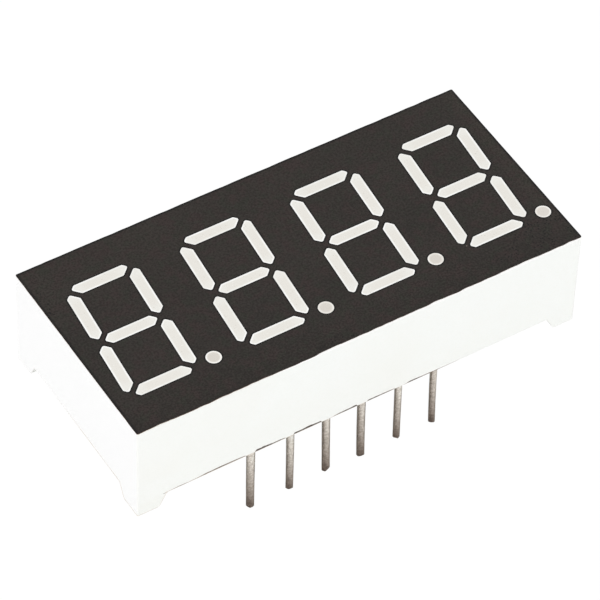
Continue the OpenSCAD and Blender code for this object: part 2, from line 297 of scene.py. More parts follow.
def ink_material():
    """Matt dark grey-brown print: mottled, darker in a band along its edges, with fine pits and a few dust specks."""
    t = Tree("face_print")
    at = t.mm()
    x, y, z = t.split(at)
    flat = t.join(x, y, 0.0)
    cloud = box_noise(t, flat, 2.4, 0.22, 3.0, 0.55)
    blot = box_noise(t, flat, 7.9, 1.1, 3.0, 0.6)
    green = box_noise(t, flat, 5.2, 1.6, 3.0, 0.6)
    fine = box_noise(t, flat, 4.4, 8.0, 3.0, 0.65)
    color = t.mix(t.step(cloud, 0.35, 0.65), ink(56, 53.2, 50.8), ink(60, 56.4, 53.8))
    # lighter towards the back, most on the left, and darker along the front: painted sheen and shade on the flat face;
    # lighter also at the right end
    back = t.m("MULTIPLY", t.step(y, -1.0, 8.0), t.step(x, 4.0, -14.0, 0.5, 0.85))
    back = t.m("MAXIMUM", t.m("MULTIPLY", back, 0.6), t.m("MULTIPLY", t.step(x, 13.4, 14.4), 0.9))
    color = t.mix(back, color, ink(65.5, 61, 57.2))
    front = t.m("MULTIPLY", t.step(y, -4.5, -6.8), 0.6)
    color = t.mix(front, color, ink(52, 49, 47))
    color = t.mix(t.m("MULTIPLY", t.step(blot, 0.46, 0.62), 0.7), color, ink(64, 55, 54))
    color = t.mix(t.m("MULTIPLY", t.step(green, 0.48, 0.64), 0.6), color, ink(56, 58, 52))
    color = t.mix(t.m("MULTIPLY", t.step(fine, 0.47, 0.6), 0.6), color, ink(48, 45, 43))
    color = t.mix(t.m("MULTIPLY", t.step(fine, 0.47, 0.36), 0.45), color, ink(66, 62, 59))
    # the print is darker in a band along its openings and its border
    gather = t.nodes.new("ShaderNodeAttribute")
    gather.attribute_type, gather.attribute_name = "GEOMETRY", "rim"
    rim = t.m("MULTIPLY", gather.outputs["Fac"], t.step(blot, 0.35, 0.6, 0.7, 1.0))
    color = t.mix(rim, color, ink(25, 19, 17))
    # fine dark pits near the front edge and in the front right corner
    low = t.m("MULTIPLY", t.step(y, -5.9, -6.6), t.m("MULTIPLY", t.step(x, -5.4, -4.2), t.step(x, 0.8, -0.6)))
    corner = t.m("MULTIPLY", t.step(t.m("SUBTRACT", x, t.m("MULTIPLY", y, 0.9)), 13.2, 17.0), t.step(y, -3.2, -4.6))
    edge = t.m("MULTIPLY", t.step(x, -14.3, -14.8), t.m("MULTIPLY", t.step(y, 2.6, 3.4), t.step(y, 5.6, 4.8)))
    where = t.m("MAXIMUM", t.m("MAXIMUM", low, corner), edge)
    where = t.m("MULTIPLY", where, t.step(box_noise(t, flat, 6.6, 0.7, 2.0, 0.5), 0.36, 0.5))
    away, tint = t.cells(flat, 7.0)
    pit = t.m("MULTIPLY", t.step(away, 0.42, 0.26), t.m("GREATER_THAN", t.split(tint)[0], 0.42))
    pit = t.m("MULTIPLY", pit, where)
    color = t.mix(t.m("MULTIPLY", pit, 0.9), color, ink(32, 27, 25))
    # dust specks, a few over the whole face
    speck_away, speck_tint = t.cells(flat, 0.5)
    dust = t.m("MULTIPLY", t.step(speck_away, 0.022, 0.010), t.m("GREATER_THAN", t.split(speck_tint)[1], 0.84))
    color = t.mix(t.m("MULTIPLY", dust, 0.75), color, linear(140, 130, 122))
    # the border's upright edge is thin ink over white plastic
    thin = t.m("MULTIPLY", t.step(z, FACE_Z - 0.012, FACE_Z - 0.02), t.step(x, -4.0, -9.0, 0.35, 0.75))
    color = t.mix(thin, color, linear(150, 122, 104))
    rough = t.step(fine, 0.3, 0.7, 0.56, 0.7)
    height = t.m("SUBTRACT", t.m("ADD", t.m("MULTIPLY", fine, 0.6), t.m("MULTIPLY", blot, 0.4)), pit)
    return t.finish(color, rough, t.bump(height, 0.000008, 0.5), IOR=1.45, Specular_IOR_Level=0.3)


def epoxy_material(name, kind):
    """Milky epoxy in its cavity: a bright line where it meets the cavity's white wall and paler near it, painted light
    that the white wall gives through the epoxy; warmer over the die, with fine grains.
    """
    t = Tree(name)
    at = t.mm()
    x, y, z = t.split(at)
    u = t.m("WRAP", t.m("SUBTRACT", x, SHELL_X + DIGITS_X + PITCH / 2), PITCH / 2, -PITCH / 2)
    root = 1 / math.sqrt(2)

    def largest(*values):
        value = values[0]
        for other in values[1:]:
            value = t.m("MAXIMUM", value, other)
        return value

    def diagonal(a, b, c, sign=1.0):
        """How far beyond the diagonal a + sign b = c a point lies."""
        both = t.m("ADD", a, b) if sign > 0 else t.m("SUBTRACT", a, b)
        return t.m("MULTIPLY", t.m("SUBTRACT", both, c), root)

    if kind == "point":
        away = t.vec("LENGTH", t.join(t.m("SUBTRACT", u, DOT_AT[0]), t.m("SUBTRACT", y, DOT_AT[1]), 0.0))
        deep = t.m("SUBTRACT", DOT_R, away)
        end = 0.0
    else:
        u = t.m("ABSOLUTE", t.m("SUBTRACT", u, t.m("MULTIPLY", y, LEAN)))
        v = t.m("ABSOLUTE", y)
        tip = diagonal(u, v, HALF_W + HALF_H - SHIFT - 2 * TIP_IN)
        if kind == "across":
            bar = largest(t.m("SUBTRACT", v, HALF_H), t.m("SUBTRACT", HALF_H - STROKE, v), tip,
                          diagonal(u, v, HALF_W - SHIFT - HALF_H, -1.0))
            middle = largest(t.m("SUBTRACT", v, STROKE / 2), diagonal(u, v, MIDDLE_L))
            deep = t.m("MULTIPLY", t.m("MINIMUM", bar, middle), -1.0)
            end = t.step(u, 0.9, 1.5)
        else:
            axis = HALF_W - STROKE / 2
            deep = t.m("MULTIPLY", largest(
                t.m("SUBTRACT", u, HALF_W), t.m("SUBTRACT", HALF_W - STROKE, u), tip,
                diagonal(v, u, HALF_H - SHIFT - HALF_W, -1.0),
                t.m("MULTIPLY", diagonal(u, v, axis + MIDDLE_V), -1.0),
                diagonal(u, v, axis - MIDDLE_V, -1.0)), -1.0)
            end = t.step(t.m("ABSOLUTE", t.m("SUBTRACT", v, 2.146)), 0.9, 1.5)
    flat = t.join(x, y, 0.0)
    soft = box_noise(t, flat, 1.3, 0.9, 2.0, 0.5)
    fine = box_noise(t, flat, 9.1, 9.0, 3.0, 0.6)
    if kind == "point":
        core, pale, wall = slug(217, 212, 204), slug(227, 223, 215), slug(252, 250, 245)
        core = t.mix(t.step(x, 10.0, 11.0), core, slug(222, 217, 209))
        pale_to, wall_to = 0.18, 0.10
    else:
        core, pale, wall = slug(232.6, 229.8, 222.8), slug(237, 236.2, 230.4), slug(254, 254, 252)
        pale_to, wall_to = 0.18, 0.10
    # paler near the cavity's white wall and at the segment ends, and a bright line at the wall: painted light from the
    # white wall
    pale_by = t.m("MAXIMUM", t.step(deep, pale_to, pale_to * 0.55), t.m("MULTIPLY", end, 0.8))
    pale_by = t.m("ADD", pale_by, t.step(soft, 0.35, 0.7, -0.06, 0.10), clamp=True)
    color = t.mix(pale_by, core, pale)
    bright = t.step(box_noise(t, flat, 3.7, 0.55, 2.0, 0.6), 0.40, 0.56, 0.35, 1.0)
    color = t.mix(t.m("MULTIPLY", t.step(deep, wall_to, wall_to * 0.7), bright), color, wall)
    # grains of diffuser: a few pale and a few grey ones
    away, tint = t.cells(flat, 6.0)
    red, green, _ = t.split(tint)
    grey = t.m("MULTIPLY", t.step(away, 0.30, 0.14), t.m("GREATER_THAN", red, 0.80))
    light = t.m("MULTIPLY", t.step(away, 0.28, 0.14), t.m("GREATER_THAN", green, 0.82))
    color = t.mix(t.m("MULTIPLY", grey, 0.6), color, slug(208, 202, 192))
    color = t.mix(t.m("MULTIPLY", light, 0.7), color, slug(246, 244, 239))
    color = t.mix(t.m("MULTIPLY", t.step(fine, 0.48, 0.7), 0.35), color, slug(226, 222, 215) if kind != "point" else slug(209, 204, 197))
    rough = t.step(fine, 0.3, 0.7, 0.36, 0.46)
    return t.finish(color, rough, t.bump(t.m("ADD", fine, soft), 0.000005, 0.4), IOR=1.52)


def pin_material():
    """Tinned wire: matt and mottled by the dip, darker by patches, and darker towards the cut ends: tarnish of the bare
    metal there and painted shade reflected from under the body.
    """
    t = Tree("tinned_wire")
    at = t.mm()
    x, y, z = t.split(at)
    stretched = t.vec("MULTIPLY", at, (1.0, 1.0, 0.35))
    draw = box_noise(t, stretched, 2.2, 9.0, 3.0, 0.6)
    mottle = box_noise(t, at, 6.1, 6.5, 3.0, 0.7)
    patch = box_noise(t, at, 4.7, 1.3, 2.0, 0.5)
    painted_tone_node = t.nodes.new("ShaderNodeAttribute")
    painted_tone_node.attribute_type, painted_tone_node.attribute_name = "GEOMETRY", "sheen"
    shade_and_tarnish = painted_tone_node.outputs["Fac"]
    tip = t.step(z, -6.1, -6.5)
    color = t.mix(t.step(mottle, 0.42, 0.58), (0.66, 0.605, 0.545), (0.97, 0.908, 0.84))
    color = t.mix(t.m("MULTIPLY", t.step(patch, 0.42, 0.62), 0.2), color, (0.60, 0.54, 0.475))
    # the colour darkens where the sheen attribute is low: painted shade reflected from under the body, and tarnish at
    # the cut end; it is lighter on the right side: painted reflection
    color = t.vec("MULTIPLY", color, t.join(shade_and_tarnish, t.m("POWER", shade_and_tarnish, 1.14), t.m("POWER", shade_and_tarnish, 1.2)))
    rough = t.m("ADD", t.step(mottle, 0.35, 0.65, 0.14, 0.24), t.m("MULTIPLY", tip, 0.12))
    height = t.m("ADD", t.m("MULTIPLY", draw, 0.5), t.m("MULTIPLY", mottle, 0.7))
    t.put(t.shader.inputs["Specular Tint"], (0.80, 0.76, 0.72))
    return t.finish(color, rough, t.bump(height, 0.000012, 0.5), Metallic=1.0)


def potting_material():
    """Rear epoxy: milky and smooth, greener over the board and paler at the rim, with small bubbles."""
    t = Tree("rear_epoxy")
    at = t.mm()
    x, y, z = t.split(at)
    cloud = box_noise(t, at, 2.9, 0.45, 3.0, 0.55)
    fine = box_noise(t, at, 5.9, 6.0, 3.0, 0.6)
    side = t.m("SUBTRACT", INNER_W / 2, t.m("ABSOLUTE", t.m("SUBTRACT", x, SHELL_X)))
    end = t.m("SUBTRACT", INNER_D / 2, t.m("ABSOLUTE", y))
    rim = t.step(t.m("MINIMUM", side, end), 0.9, 0.0)
    color = t.mix(t.step(cloud, 0.34, 0.66), (0.60, 0.63, 0.53), (0.69, 0.70, 0.62))
    color = t.mix(rim, color, (0.80, 0.80, 0.75))
    away, tint = t.cells(at, 1.4)
    bubble = t.m("MULTIPLY", t.step(away, 0.16, 0.08), t.m("GREATER_THAN", t.split(tint)[0], 0.7))
    ring = t.m("MULTIPLY", bubble, t.step(away, 0.05, 0.12))
    color = t.mix(t.m("MULTIPLY", ring, 0.45), color, (0.85, 0.86, 0.82))
    color = t.mix(t.m("MULTIPLY", t.step(fine, 0.55, 0.75), 0.15), color, (0.50, 0.52, 0.44))
    rough = t.step(cloud, 0.3, 0.7, 0.16, 0.26)
    height = t.m("SUBTRACT", t.m("ADD", t.m("MULTIPLY", cloud, 1.0), t.m("MULTIPLY", fine, 0.12)), t.m("MULTIPLY", bubble, 0.3))
    return t.finish(color, rough, t.bump(height, 0.00003, 0.4), IOR=1.52)


def board_material():
    """Circuit board: green mask over woven glass."""
    t = Tree("board_laminate")
    at = t.mm()
    x, y, z = t.split(at)
    weave = t.m("MULTIPLY", t.m("SINE", t.m("MULTIPLY", x, 12.0)), t.m("SINE", t.m("MULTIPLY", y, 12.0)))
    cloud = box_noise(t, at, 7.3, 0.8, 3.0, 0.6)
    color = t.mix(t.step(cloud, 0.35, 0.65), (0.045, 0.13, 0.07), (0.065, 0.18, 0.095))
    color = t.mix(t.m("MULTIPLY", t.step(weave, 0.2, 0.8), 0.25), color, (0.10, 0.22, 0.12))
    return t.finish(color, t.step(cloud, 0.3, 0.7, 0.35, 0.5), t.bump(weave, 0.00001, 0.3), IOR=1.5)


def solder_material():
    t = Tree("solder")
    at = t.mm()
    grain = box_noise(t, at, 3.3, 4.0, 3.0, 0.6)
    color = t.mix(t.step(grain, 0.35, 0.65), (0.62, 0.62, 0.60), (0.80, 0.80, 0.78))
    return t.finish(color, t.step(grain, 0.3, 0.7, 0.22, 0.38), t.bump(grain, 0.00001, 0.4), Metallic=1.0)


def die_material():
    t = Tree("led_crystal")
    at = t.mm()
    grain = box_noise(t, at, 1.7, 12.0, 2.0, 0.5)
    color = t.mix(t.step(grain, 0.35, 0.65), (0.55, 0.42, 0.12), (0.70, 0.58, 0.25))
    return t.finish(color, t.step(grain, 0.3, 0.7, 0.2, 0.35), IOR=2.0)


def bond_material():
    t = Tree("gold_wire")
    at = t.mm()
    grain = box_noise(t, at, 2.1, 20.0, 2.0, 0.5)
    color = t.mix(t.step(grain, 0.35, 0.65), (0.80, 0.56, 0.18), (0.92, 0.70, 0.28))
    return t.finish(color, t.step(grain, 0.3, 0.7, 0.18, 0.3), Metallic=1.0)


SHELL, INK, PIN, POTTING = shell_material(), ink_material(), pin_material(), potting_material()
ACROSS, UPRIGHT, POINT = (epoxy_material("segment_epoxy_across", "across"),
                          epoxy_material("segment_epoxy_upright", "upright"),
                          epoxy_material("point_epoxy", "point"))
BOARD, SOLDER, DIE, BOND = board_material(), solder_material(), die_material(), bond_material()


def wear(obj, material):
    obj.data.materials.clear()
    obj.data.materials.append(material)


for name, obj in cad.items():
    if name == "housing":
        wear(obj, SHELL)
    elif name == "face_ink":
        wear(obj, INK)
    elif name.startswith("pin_"):
        wear(obj, PIN)
    elif "_segment_" in name:
        wear(obj, ACROSS if name[-1] in "adg" else UPRIGHT)
    elif name.endswith("decimal_point"):
        wear(obj, POINT)
    elif name.startswith("led_dice"):
        wear(obj, DIE)
    elif name.startswith("bond_wires"):
        wear(obj, BOND)
    elif name == "circuit_board":
        wear(obj, BOARD)
    elif name == "solder_joints":
        wear(obj, SOLDER)
    elif name == "potting":
        wear(obj, POTTING)


# ---------------------------------------------------------------- outlines


def unit(v):
    return v / np.linalg.norm(v)


def corner_arc(a, b, c, r, n):
    u, v = unit(a - b), unit(c - b)
    half = math.acos(float(u @ v)) / 2
    middle = b + unit(u + v) * r / math.sin(half)
    start, stop = b + u * r / math.tan(half) - middle, b + v * r / math.tan(half) - middle
    a0 = math.atan2(start[1], start[0])
    da = math.atan2(stop[1], stop[0]) - a0
    da = da - math.tau if da > math.pi else da + math.tau if da < -math.pi else da
    return [middle + r * np.array([math.cos(a0 + da * i / n), math.sin(a0 + da * i / n)]) for i in range(n + 1)]


def rounded(points, r, n):
    p = [np.array(q, float) for q in points]
    return np.array([q for i in range(len(p)) for q in corner_arc(p[i - 1], p[i], p[(i + 1) % len(p)], r, n)])


def segment_outline(s):
    """The outline of an upright segment, counter-clockwise, before its corners are rounded."""
    if s in "ad":
        inner = HALF_W - STROKE - SHIFT
        point = inner + STROKE - TIP_IN
        outer = point - TIP_IN
        p = np.array([[point, HALF_H - TIP_IN], [outer, HALF_H], [-outer, HALF_H], [-point, HALF_H - TIP_IN],
                      [-inner, HALF_H - STROKE], [inner, HALF_H - STROKE]])
        return p if s == "a" else (p * [1, -1])[::-1]
    if s in "bcef":
        inner = HALF_H - STROKE - SHIFT
        point = inner + STROKE - TIP_IN
        outer = point - TIP_IN
        p = np.array([[HALF_W, outer], [HALF_W - TIP_IN, point], [HALF_W - STROKE, inner],
                      [HALF_W - STROKE, MIDDLE_V + STROKE / 2], [HALF_W - STROKE / 2, MIDDLE_V],
                      [HALF_W, MIDDLE_V + STROKE / 2]])
        sx, sy = (-1 if s in "ef" else 1), (-1 if s in "ce" else 1)
        p = p * [sx, sy]
        return p if sx * sy > 0 else p[::-1]
    edge = MIDDLE_L - STROKE / 2
    return np.array([[MIDDLE_L, 0], [edge, STROKE / 2], [-edge, STROKE / 2], [-MIDDLE_L, 0],
                     [-edge, -STROKE / 2], [edge, -STROKE / 2]])


def openings():
    """The outline of every opening in the print, counter-clockwise, in millimetres."""
    found = []
    for d in range(4):
        at = np.array([SHELL_X + DIGITS_X + (d - 1.5) * PITCH, 0.0])
        for s in "abcdefg":
            p = rounded(segment_outline(s), VERTEX_R, 6)
            p[:, 0] += p[:, 1] * LEAN
            found.append(p + at)
        turn = np.arange(64) * math.tau / 64
        found.append(at + np.array(DOT_AT) + DOT_R * np.stack([np.cos(turn), np.sin(turn)], 1))
    return found


def plate_loop(w, d, r, step, n=8):
    """A rounded rectangle with a point about every step, counter-clockwise."""
    corners = rounded([[w / 2, -d / 2], [w / 2, d / 2], [-w / 2, d / 2], [-w / 2, -d / 2]], r, n)
    made = []
    for i in range(len(corners)):
        a, b = corners[i], corners[(i + 1) % len(corners)]
        count = max(1, round(np.linalg.norm(b - a) / step))
        made += [a + (b - a) * k / count for k in range(count)]
    return np.array(made)


def outward(loop):
    """Unit normals of a counter-clockwise loop, pointing out of it."""
    along = np.roll(loop, -1, 0) - np.roll(loop, 1, 0)
    return np.stack([along[:, 1], -along[:, 0]], 1) / np.linalg.norm(along, axis=1)[:, None]


def inside(points, loop):
    x, y = points[:, 0][:, None], points[:, 1][:, None]
    a, b = loop, np.roll(loop, -1, 0)
    cross = (a[:, 1] > y) != (b[:, 1] > y)
    with np.errstate(divide="ignore", invalid="ignore"):
        at = a[:, 0] + (y - a[:, 1]) * (b[:, 0] - a[:, 0]) / (b[:, 1] - a[:, 1])
    return (np.where(cross, at > x, False).sum(1) % 2).astype(bool)


def fill(border, holes, extra=(), rings=()):
    """(points, triangles) of the flat region inside border and outside holes, with every ring kept as edges. The loops' own points come first, in order, then the rings'."""
    loops = [border, *holes, *rings]
    points = np.concatenate([*loops, np.array(extra, float).reshape(-1, 2)])
    edges, n = [], 0
    for loop in loops:
        m = len(loop)
        edges += [(n + i, n + (i + 1) % m) for i in range(m)]
        n += m
    made = geometry.delaunay_2d_cdt([Vector(p) for p in points], edges, [], 0, 1e-7)
    if len(made[0]) != len(points):
        raise RuntimeError("the loops of a flat region cross")
    order = [source[0] for source in made[3]]
    faces = np.array([[order[i] for i in f] for f in made[2]])
    middle = points[faces].mean(1)
    keep = inside(middle, border)
    for hole in holes:
        keep &= ~inside(middle, hole)
    faces = faces[keep]
    a, b, c = (points[faces[:, i]] for i in range(3))
    area = np.cross(b - a, c - a)
    faces[area < 0] = faces[area < 0][:, ::-1]
    return points, faces[np.abs(area) > 1e-12]


class Shape:
    """Collects points in millimetres and faces, and makes an object."""

    def __init__(self):
        self.points, self.faces = [], []

    def add(self, points):
        start = len(self.points)
        self.points += [tuple(float(c) for c in p) for p in points]
        return list(range(start, start + len(points)))

    def band(self, lower, upper):
        """Quads between two closed rings with as many points each. They face out where the rings turn counter-clockwise and upper is above."""
        n = len(lower)
        self.faces += [(lower[i], lower[(i + 1) % n], upper[(i + 1) % n], upper[i]) for i in range(n)]

    def make(self, name, material, node, smooth_deg=None):
        mesh = bpy.data.meshes.new(name)
        mesh.from_pydata([tuple(c * MM for c in p) for p in self.points], [], self.faces)
        mesh.validate()
        mesh.update()
        mesh.materials.append(material)
        obj = bpy.data.objects.new(name, mesh)
        bpy.context.scene.collection.objects.link(obj)
        if smooth_deg is not None:
            mesh.shade_smooth()
            mesh.set_sharp_from_angle(angle=math.radians(smooth_deg))
        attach(obj, "root")
        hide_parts(node)
        return obj


# ---------------------------------------------------------------- the print


def wandering(inset):
    """The print's border, inset by this much and with its own wander, and for every point how far it lies to the front. The
    wander moves the whole plane a little, so that loops at different insets don't cross."""
    loop = plate_loop(BODY_W - 2 * inset, BODY_D - 2 * inset, max(CORNER_R - inset, 0.03), 0.12)
    ahead = np.clip(-outward(loop)[:, 1], 0, 1)
    moved = []
    for x, y in loop:
        def give(base, swing, u, v, from_edge):
            wave = 0.6 * noise.noise(Vector((u * 0.7, v * 0.7, 1.3))) + 0.5 * noise.noise(Vector((u * 1.9, v * 1.9, 7.7)))
            return min(max(base + swing * wave, 0.0), 0.11) * max(0.0, 1 - from_edge)
        lift = give(0.040, 0.080, x, -BODY_D / 2, y + BODY_D / 2) - give(0.006, 0.030, x, BODY_D / 2, BODY_D / 2 - y)
        push = give(0.002, 0.036, -BODY_W / 2, y, x + BODY_W / 2) - 0.2 * give(0.006, 0.030, BODY_W / 2, y, BODY_W / 2 - x)
        moved.append((x + push + SHELL_X, y + lift))
    return np.array(moved), ahead


def make_print():
    """The print as a thin film. Its border wanders a little inside the shell's edge, most along the front."""
    border, ahead = wandering(0.0)
    holes = openings()
    lip = 0.012
    top_border = border - outward(border) * lip
    # rings that carry how much darker the print is: round every opening, and inside the border
    ring_loops, weights = [], []
    for hole in holes:
        for away, weight in ((0.05, 0.9), (0.085, 0.65), (0.115, 0.15), (0.145, 0.0)):
            ring_loops.append(hole + outward(hole) * away)
            weights.append(np.full(len(hole), weight))
    for away, weight in ((0.05, 0.9), (0.11, 0.65), (0.16, 0.15), (0.21, 0.0)):
        loop, front = wandering(lip + away)
        ring_loops.append(loop)
        weights.append(weight * (1 - 0.8 * front))
    side = 1 - 0.8 * ahead
    points, faces = fill(top_border, holes, rings=ring_loops)
    s = Shape()
    top = s.add([(x, y, FACE_Z) for x, y in points])
    s.faces += [tuple(top[i] for i in f) for f in faces]
    rims = np.concatenate([side, np.ones(sum(len(h) for h in holes)), *weights])
    starts = np.cumsum([0, len(border), *[len(h) for h in holes]])
    rings = [top[starts[i]:starts[i + 1]] for i in range(len(holes) + 1)]
    low_rings = []
    for k, (ring, loop) in enumerate(zip(rings, [border, *holes])):
        low = s.add([(x, y, INK_Z) for x, y in loop])
        if k == 0:
            edge = s.add([(x, y, FACE_Z - lip) for x, y in loop])
            s.band(edge, ring)
            s.band(low, edge)
        else:
            s.band(low[::-1], ring[::-1])
        low_rings.append(low)
    flat, under = fill(border, holes)
    low = [i for ring in low_rings for i in ring]
    s.faces += [tuple(low[i] for i in f[::-1]) for f in under]
    obj = s.make("face_print", INK, "face_ink", 25)
    rim = obj.data.attributes.new("rim", "FLOAT", "POINT")
    values = np.zeros(len(s.points), np.float32)
    values[:len(rims)] = rims
    rim.data.foreach_set("value", values)
    return obj


# ---------------------------------------------------------------- the pins

# For each pin: sideways offsets at the potting, half way and at the cut end; offset to the back at the end;
# radius at the potting and at the end; slope of the two faces that the cutter left; and the crest between
# them, as heights at places from -1, the left, to 1, the right
PINS = {
    1: (-0.05, -0.041, 0.010, 0.00, 0.272, 0.244, 0.85, ((-1, -6.49), (-0.5, -6.56), (0, -6.645), (0.4, -6.60), (1, -6.48))),
    2: (0.05, 0.133, 0.190, 0.00, 0.252, 0.226, 1.05, ((-1, -6.53), (-0.6, -6.58), (-0.1, -6.625), (0.5, -6.56), (1, -6.49))),
    3: (-0.02, 0.067, 0.200, 0.00, 0.250, 0.246, 1.05, ((-1, -6.44), (-0.6, -6.49), (-0.1, -6.53), (0.2, -6.43), (1, -6.12))),
    4: (-0.05, -0.020, 0.100, 0.00, 0.256, 0.246, 1.05, ((-1, -6.47), (-0.8, -6.56), (-0.4, -6.605), (0.2, -6.55), (1, -6.44))),
    5: (-0.04, 0.016, 0.085, 0.00, 0.232, 0.214, 1.05, ((-1, -6.29), (-0.7, -6.37), (0, -6.395), (0.4, -6.46), (0.7, -6.40), (1, -6.25))),
    6: (-0.06, -0.044, 0.080, 0.00, 0.226, 0.205, 1.05, ((-1, -6.39), (-0.6, -6.45), (0, -6.47), (0.6, -6.46), (1, -6.41))),
    7: (0.03, 0.05, 0.11, 0.03, 0.242, 0.236, 1.0, ((-1, -6.45), (0, -6.56), (0.5, -6.52), (1, -6.40))),
    8: (-0.02, 0.02, 0.06, -0.05, 0.248, 0.240, 0.9, ((-1, -6.50), (0, -6.63), (1, -6.52))),
    9: (0.04, 0.00, -0.05, 0.04, 0.250, 0.244, 1.0, ((-1, -6.40), (-0.3, -6.55), (1, -6.47))),
    10: (-0.03, 0.03, 0.12, 0.02, 0.246, 0.238, 0.8, ((-1, -6.60), (0, -6.57), (1, -6.30))),
    11: (0.02, 0.06, 0.08, -0.04, 0.244, 0.232, 1.0, ((-1, -6.43), (0.2, -6.50), (1, -6.46))),
    12: (0.00, 0.04, 0.10, 0.05, 0.250, 0.240, 1.1, ((-1, -6.51), (0.3, -6.60), (0.6, -6.53), (1, -6.42))),
}
SIDES = 32


def pin_at(p):
    return ((p - 3.5) * 2.54, -5.08) if p <= 6 else ((9.5 - p) * 2.54, 5.08)


def pin_line(p, z):
    """Centre of pin p at height z. The root, a middle point and the cut end set a smooth curve."""
    root, middle, tip, back = PINS[p][:4]
    end = -6.5
    x, y = pin_at(p)
    top, half = 1.2, -2.4
    k = min(max((top - z) / (top - end), 0.0), 1.0)
    h = (top - half) / (top - end)
    a = (middle - root - (tip - root) * h) / (h * (h - 1))
    return x + root + (tip - root) * k + a * k * (k - 1), y + back * k


# How bright a pin is painted, from the potting (z -2) in five even steps to the cut end (z -6): 1 is the brightest. All
# the pins darken alike towards the cut end, some a little more than others: tarnish at the cut end and painted shade
# reflected from under the body
FALL = (1.0, 0.88, 0.8, 0.7, 0.57, 0.32)
PIN_BRIGHTNESS = {1: 1.0, 2: 1.1, 3: 0.95, 4: 0.95, 5: 1.0, 6: 0.9, 7: 1.0, 8: 1.0, 9: 0.95, 10: 1.0, 11: 1.0, 12: 1.0}
SHEEN = {p: tuple(k * v for v in FALL) for p, k in PIN_BRIGHTNESS.items()}
SHEEN_AT = (-6.0, -5.2, -4.4, -3.6, -2.8, -2.0)


def pin_radius(p, z):
    r0, r1 = PINS[p][4:6]
    k = min(max((1.2 - z) / 7.8, 0.0), 1.0)
    return r0 + (r1 - r0) * k


RIGHT = (0.8515, -0.5243)


def cut_end(p, u, v):
    """Height of the cut end of pin p, at u to the right and v to the back, in pin radii."""
    slope, crest = PINS[p][6:8]
    z = float(np.interp(u, [c[0] for c in crest], [c[1] for c in crest]))
    z += slope * PINS[p][5] * abs(v) + 0.010 * noise.noise(Vector((u * 2.7 + p, v * 2.7, 4.0)))
    return max(z, FLOOR_Z + 0.002)


def make_pin(p):
    """A sheared length of wire: a slight lean, a hammered outline and the two faces and the crest that the cutter left."""
    s = Shape()
    top = BOARD_TOP
    turn = [math.tau * i / SIDES for i in range(SIDES)]

    def edge(i, share):
        c, q = math.cos(turn[i]) * share, math.sin(turn[i]) * share
        return cut_end(p, c * RIGHT[0] + q * RIGHT[1], -c * RIGHT[1] + q * RIGHT[0])

    def point(i, z, share):
        x, y = pin_line(p, z)
        bulge = 1 + 0.016 * noise.noise(Vector((math.cos(turn[i]) * 1.2 + p, math.sin(turn[i]) * 1.2, z * 1.1)))
        r = pin_radius(p, z) * share * bulge
        return x + r * math.cos(turn[i]), y + r * math.sin(turn[i]), z

    rings = []
    count = 44
    for k in range(count + 1):
        rings.append(s.add([point(i, top + (edge(i, 1.0) + 0.02 - top) * k / count, 1.0) for i in range(SIDES)]))
    for share, lift in ((0.975, 0.006), (0.92, 0.0), (0.75, 0.0), (0.55, 0.0), (0.35, 0.0), (0.16, 0.0)):
        rings.append(s.add([point(i, edge(i, share) + lift, share) for i in range(SIDES)]))
    low = cut_end(p, 0.0, 0.0)
    centre = s.add([(*pin_line(p, low), low)])[0]
    for upper, lower in zip(rings, rings[1:]):
        s.band(lower, upper)
    last = rings[-1]
    s.faces += [(last[(i + 1) % SIDES], last[i], centre) for i in range(SIDES)]
    crown = s.add([(*pin_line(p, top), top)])[0]
    s.faces += [(rings[0][i], rings[0][(i + 1) % SIDES], crown) for i in range(SIDES)]
    obj = s.make(f"pin_{p}_wire", PIN, f"pin_{p}", 30)
    sheen = obj.data.attributes.new("sheen", "FLOAT", "POINT")
    places = np.array(s.points)
    heights = places[:, 2]
    shade_and_tarnish = np.interp(heights, SHEEN_AT, SHEEN[p][::-1])
    # the right side is painted lighter, most towards the cut end, and a strip just left of the middle darker: painted
    # reflection and shade
    axis = np.array([pin_line(p, z) for z in heights])
    side = ((places[:, :2] - axis) @ np.array(RIGHT)) / np.array([pin_radius(p, z) for z in heights])
    shade_and_tarnish *= np.interp(side, (-1, -0.65, -0.3, 0.0, 0.45, 0.7, 1), (1.0, 0.98, 0.92, 0.98, 1.10, 1.12, 1.09))
    shade_and_tarnish *= 1 + np.interp(heights, (-6.0, -4.6), (0.22, 0.0)) * np.interp(side, (0.3, 0.7), (0.0, 1.0))
    sheen.data.foreach_set("value", shade_and_tarnish.astype(np.float32))
    return obj


# ---------------------------------------------------------------- the rear epoxy


